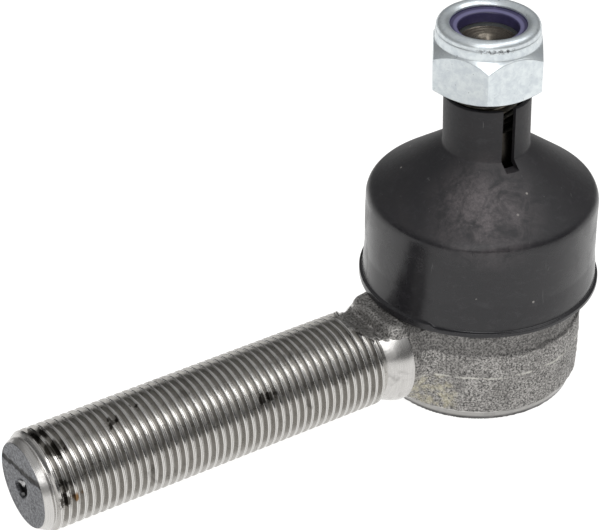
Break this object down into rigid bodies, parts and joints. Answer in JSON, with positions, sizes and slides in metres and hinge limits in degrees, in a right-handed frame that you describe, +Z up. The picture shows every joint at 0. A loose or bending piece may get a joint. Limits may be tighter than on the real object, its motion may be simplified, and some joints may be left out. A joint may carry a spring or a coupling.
{
  "type": "tie rod end",
  "caption": "Steering tie rod end: forged eye with a threaded shank, tapered ball stud in spring-loaded seats, rubber boot, black split-neck cap and nylon lock nut.",
  "frame": {"origin": "centre of the ball, where the stud's axis crosses the shank's axis", "axes": "+Z up the stud's axis with the stud upright, -X along the threaded shank, away from the eye"},
  "size_m": [0.1157, 0.0434, 0.072],
  "materials": {
    "forged_steel": "rough forged skin, turned bright at the rim, collar and thread",
    "zinc_plate": "satin zinc",
    "spring_steel": "phosphated, oiled",
    "acetal": "smooth moulded",
    "stud_steel": "ground taper, rolled thread",
    "boot_rubber": "matt moulded rubber",
    "black_moulding": "satin skirt, dusty matt dome",
    "blue_nylon": "smooth nylon",
    "zinc_nut": "bright zinc plate"
  },
  "bodies": {
    "housing": {"forged_housing": "forged_steel", "closing_plate": "zinc_plate", "preload_disc_spring": "spring_steel", "upper_bearing_seat": "acetal", "boot_lower_ring": "spring_steel"},
    "lower_seat": {"lower_bearing_seat": "acetal"},
    "boot_and_cap": {"dust_boot": "boot_rubber", "boot_upper_ring": "spring_steel", "transit_cap": "black_moulding"},
    "stud": {"ball_stud": "stud_steel"},
    "nut_ring": {"nylon_insert": "blue_nylon"},
    "nut": {"lock_nut": "zinc_nut"}
  },
  "joints": [
    {"name": "stud_swivel", "type": "hinge", "parent": "housing", "child": "lower_seat", "pos_m": [0, 0, 0], "axis": [0, 0, 1], "continuous": true},
    {"name": "stud_tilt", "type": "hinge", "parent": "lower_seat", "child": "boot_and_cap", "pos_m": [0, 0, 0], "axis": [0, 1, 0], "range_deg": [-18, 18], "deforming": ["dust_boot", "transit_cap"]},
    {"name": "stud_spin", "type": "hinge", "parent": "boot_and_cap", "child": "stud", "pos_m": [0, 0, 0], "axis": [0, 0, 1], "continuous": true},
    {"name": "nut_travel", "type": "slide", "parent": "stud", "child": "nut_ring", "axis": [0, 0, 1], "range_m": [0, 0.00813]},
    {"name": "nut_turn", "type": "hinge", "parent": "nut_ring", "child": "nut", "pos_m": [0, 0, 0], "axis": [0, 0, 1], "range_deg": [0, 2340]}
  ],
  "couplings": [
    {"joint": "nut_turn", "follows": "nut_travel", "rad_per_m": 5026.5}
  ]
}
